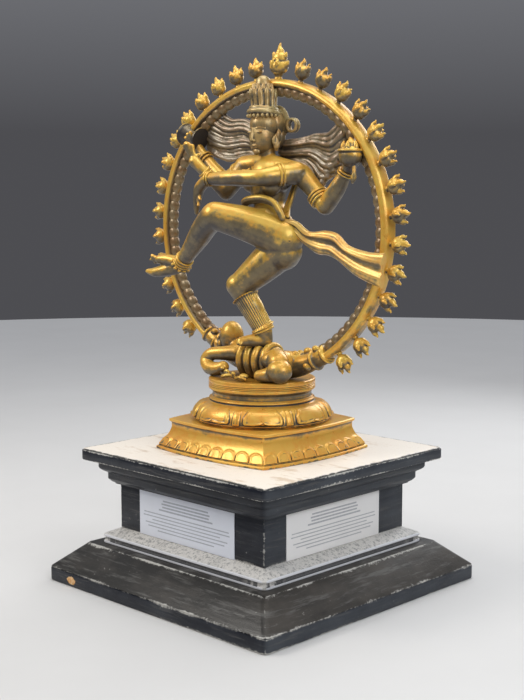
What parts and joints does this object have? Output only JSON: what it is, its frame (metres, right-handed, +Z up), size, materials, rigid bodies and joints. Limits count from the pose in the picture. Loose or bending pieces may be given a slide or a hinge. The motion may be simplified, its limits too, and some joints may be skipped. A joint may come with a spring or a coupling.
{
  "type": "statue",
  "caption": "Cast brass dancing figure in an oval ring of flames, on a lotus pedestal and a stepped, clad stone plinth; stands free as a display piece.",
  "frame": {"origin": "middle of the plinth's underside, on the floor", "axes": "+Z up through the figure; -Y is the way the figure faces; +X is towards the figure's own left hand"},
  "size_m": [1.7681, 1.54, 2.6858],
  "materials": {
    "dark_stone": "polished near-black granite, opaque",
    "pale_stone": "honed cream stone, opaque",
    "core": "cast masonry core, opaque",
    "plaque": "white enamelled plate, no lettering",
    "steel": "plain steel rod and nut",
    "pedestal_brass": "cast brass, polished on the high parts",
    "figure_brass": "cast brass, worn bright with a brown patina in the hollows",
    "dark_brass": "cast brass under a dark brown patina"
  },
  "bodies": {
    "root": {"anchor_rods": "steel", "arm_front_left": "figure_brass", "arm_front_right": "figure_brass", "arm_rear_left": "figure_brass", "arm_rear_right": "figure_brass", "bowl_of_fire": "figure_brass", "brass_foot": "pedestal_brass", "cap_slab": "dark_stone", "core_block": "core", "cornice_slabs": "dark_stone", "die_panels": "dark_stone", "dwarf": "figure_brass", "flame_crest": "figure_brass", "flame_left_01": "figure_brass", "flame_left_02": "figure_brass", "flame_left_03": "figure_brass", "flame_left_04": "figure_brass", "flame_left_05": "figure_brass", "flame_left_06": "figure_brass", "flame_left_07": "figure_brass", "flame_left_08": "figure_brass", "flame_left_09": "figure_brass", "flame_left_10": "figure_brass", "flame_left_11": "figure_brass", "flame_left_12": "figure_brass", "flame_left_13": "figure_brass", "flame_left_14": "figure_brass", "flame_right_01": "figure_brass", "flame_right_02": "figure_brass", "flame_right_03": "figure_brass", "flame_right_04": "figure_brass", "flame_right_05": "figure_brass", "flame_right_06": "figure_brass", "flame_right_07": "figure_brass", "flame_right_08": "figure_brass", "flame_right_09": "figure_brass", "flame_right_10": "figure_brass", "flame_right_11": "figure_brass", "flame_right_12": "figure_brass", "flame_right_13": "figure_brass", "flame_right_14": "figure_brass", "flame_ring": "figure_brass", "floor_slab": "dark_stone", "flying_sash": "figure_brass", "hair_fan_left": "dark_brass", "hair_fan_right": "dark_brass", "hand_drum": "figure_brass", "head_and_crown": "dark_brass", "leg_raised": "figure_brass", "leg_standing": "figure_brass", "lotus_tier": "pedestal_brass", "pale_top_slab": "pale_stone", "pedestal_drum": "pedestal_brass", "plaque_front": "plaque", "plaque_side": "plaque", "ring_collar_left": "figure_brass", "ring_collar_right": "figure_brass", "skirt_slabs": "dark_stone", "step_slabs": "dark_stone", "torso": "figure_brass"}
  },
  "joints": []
}
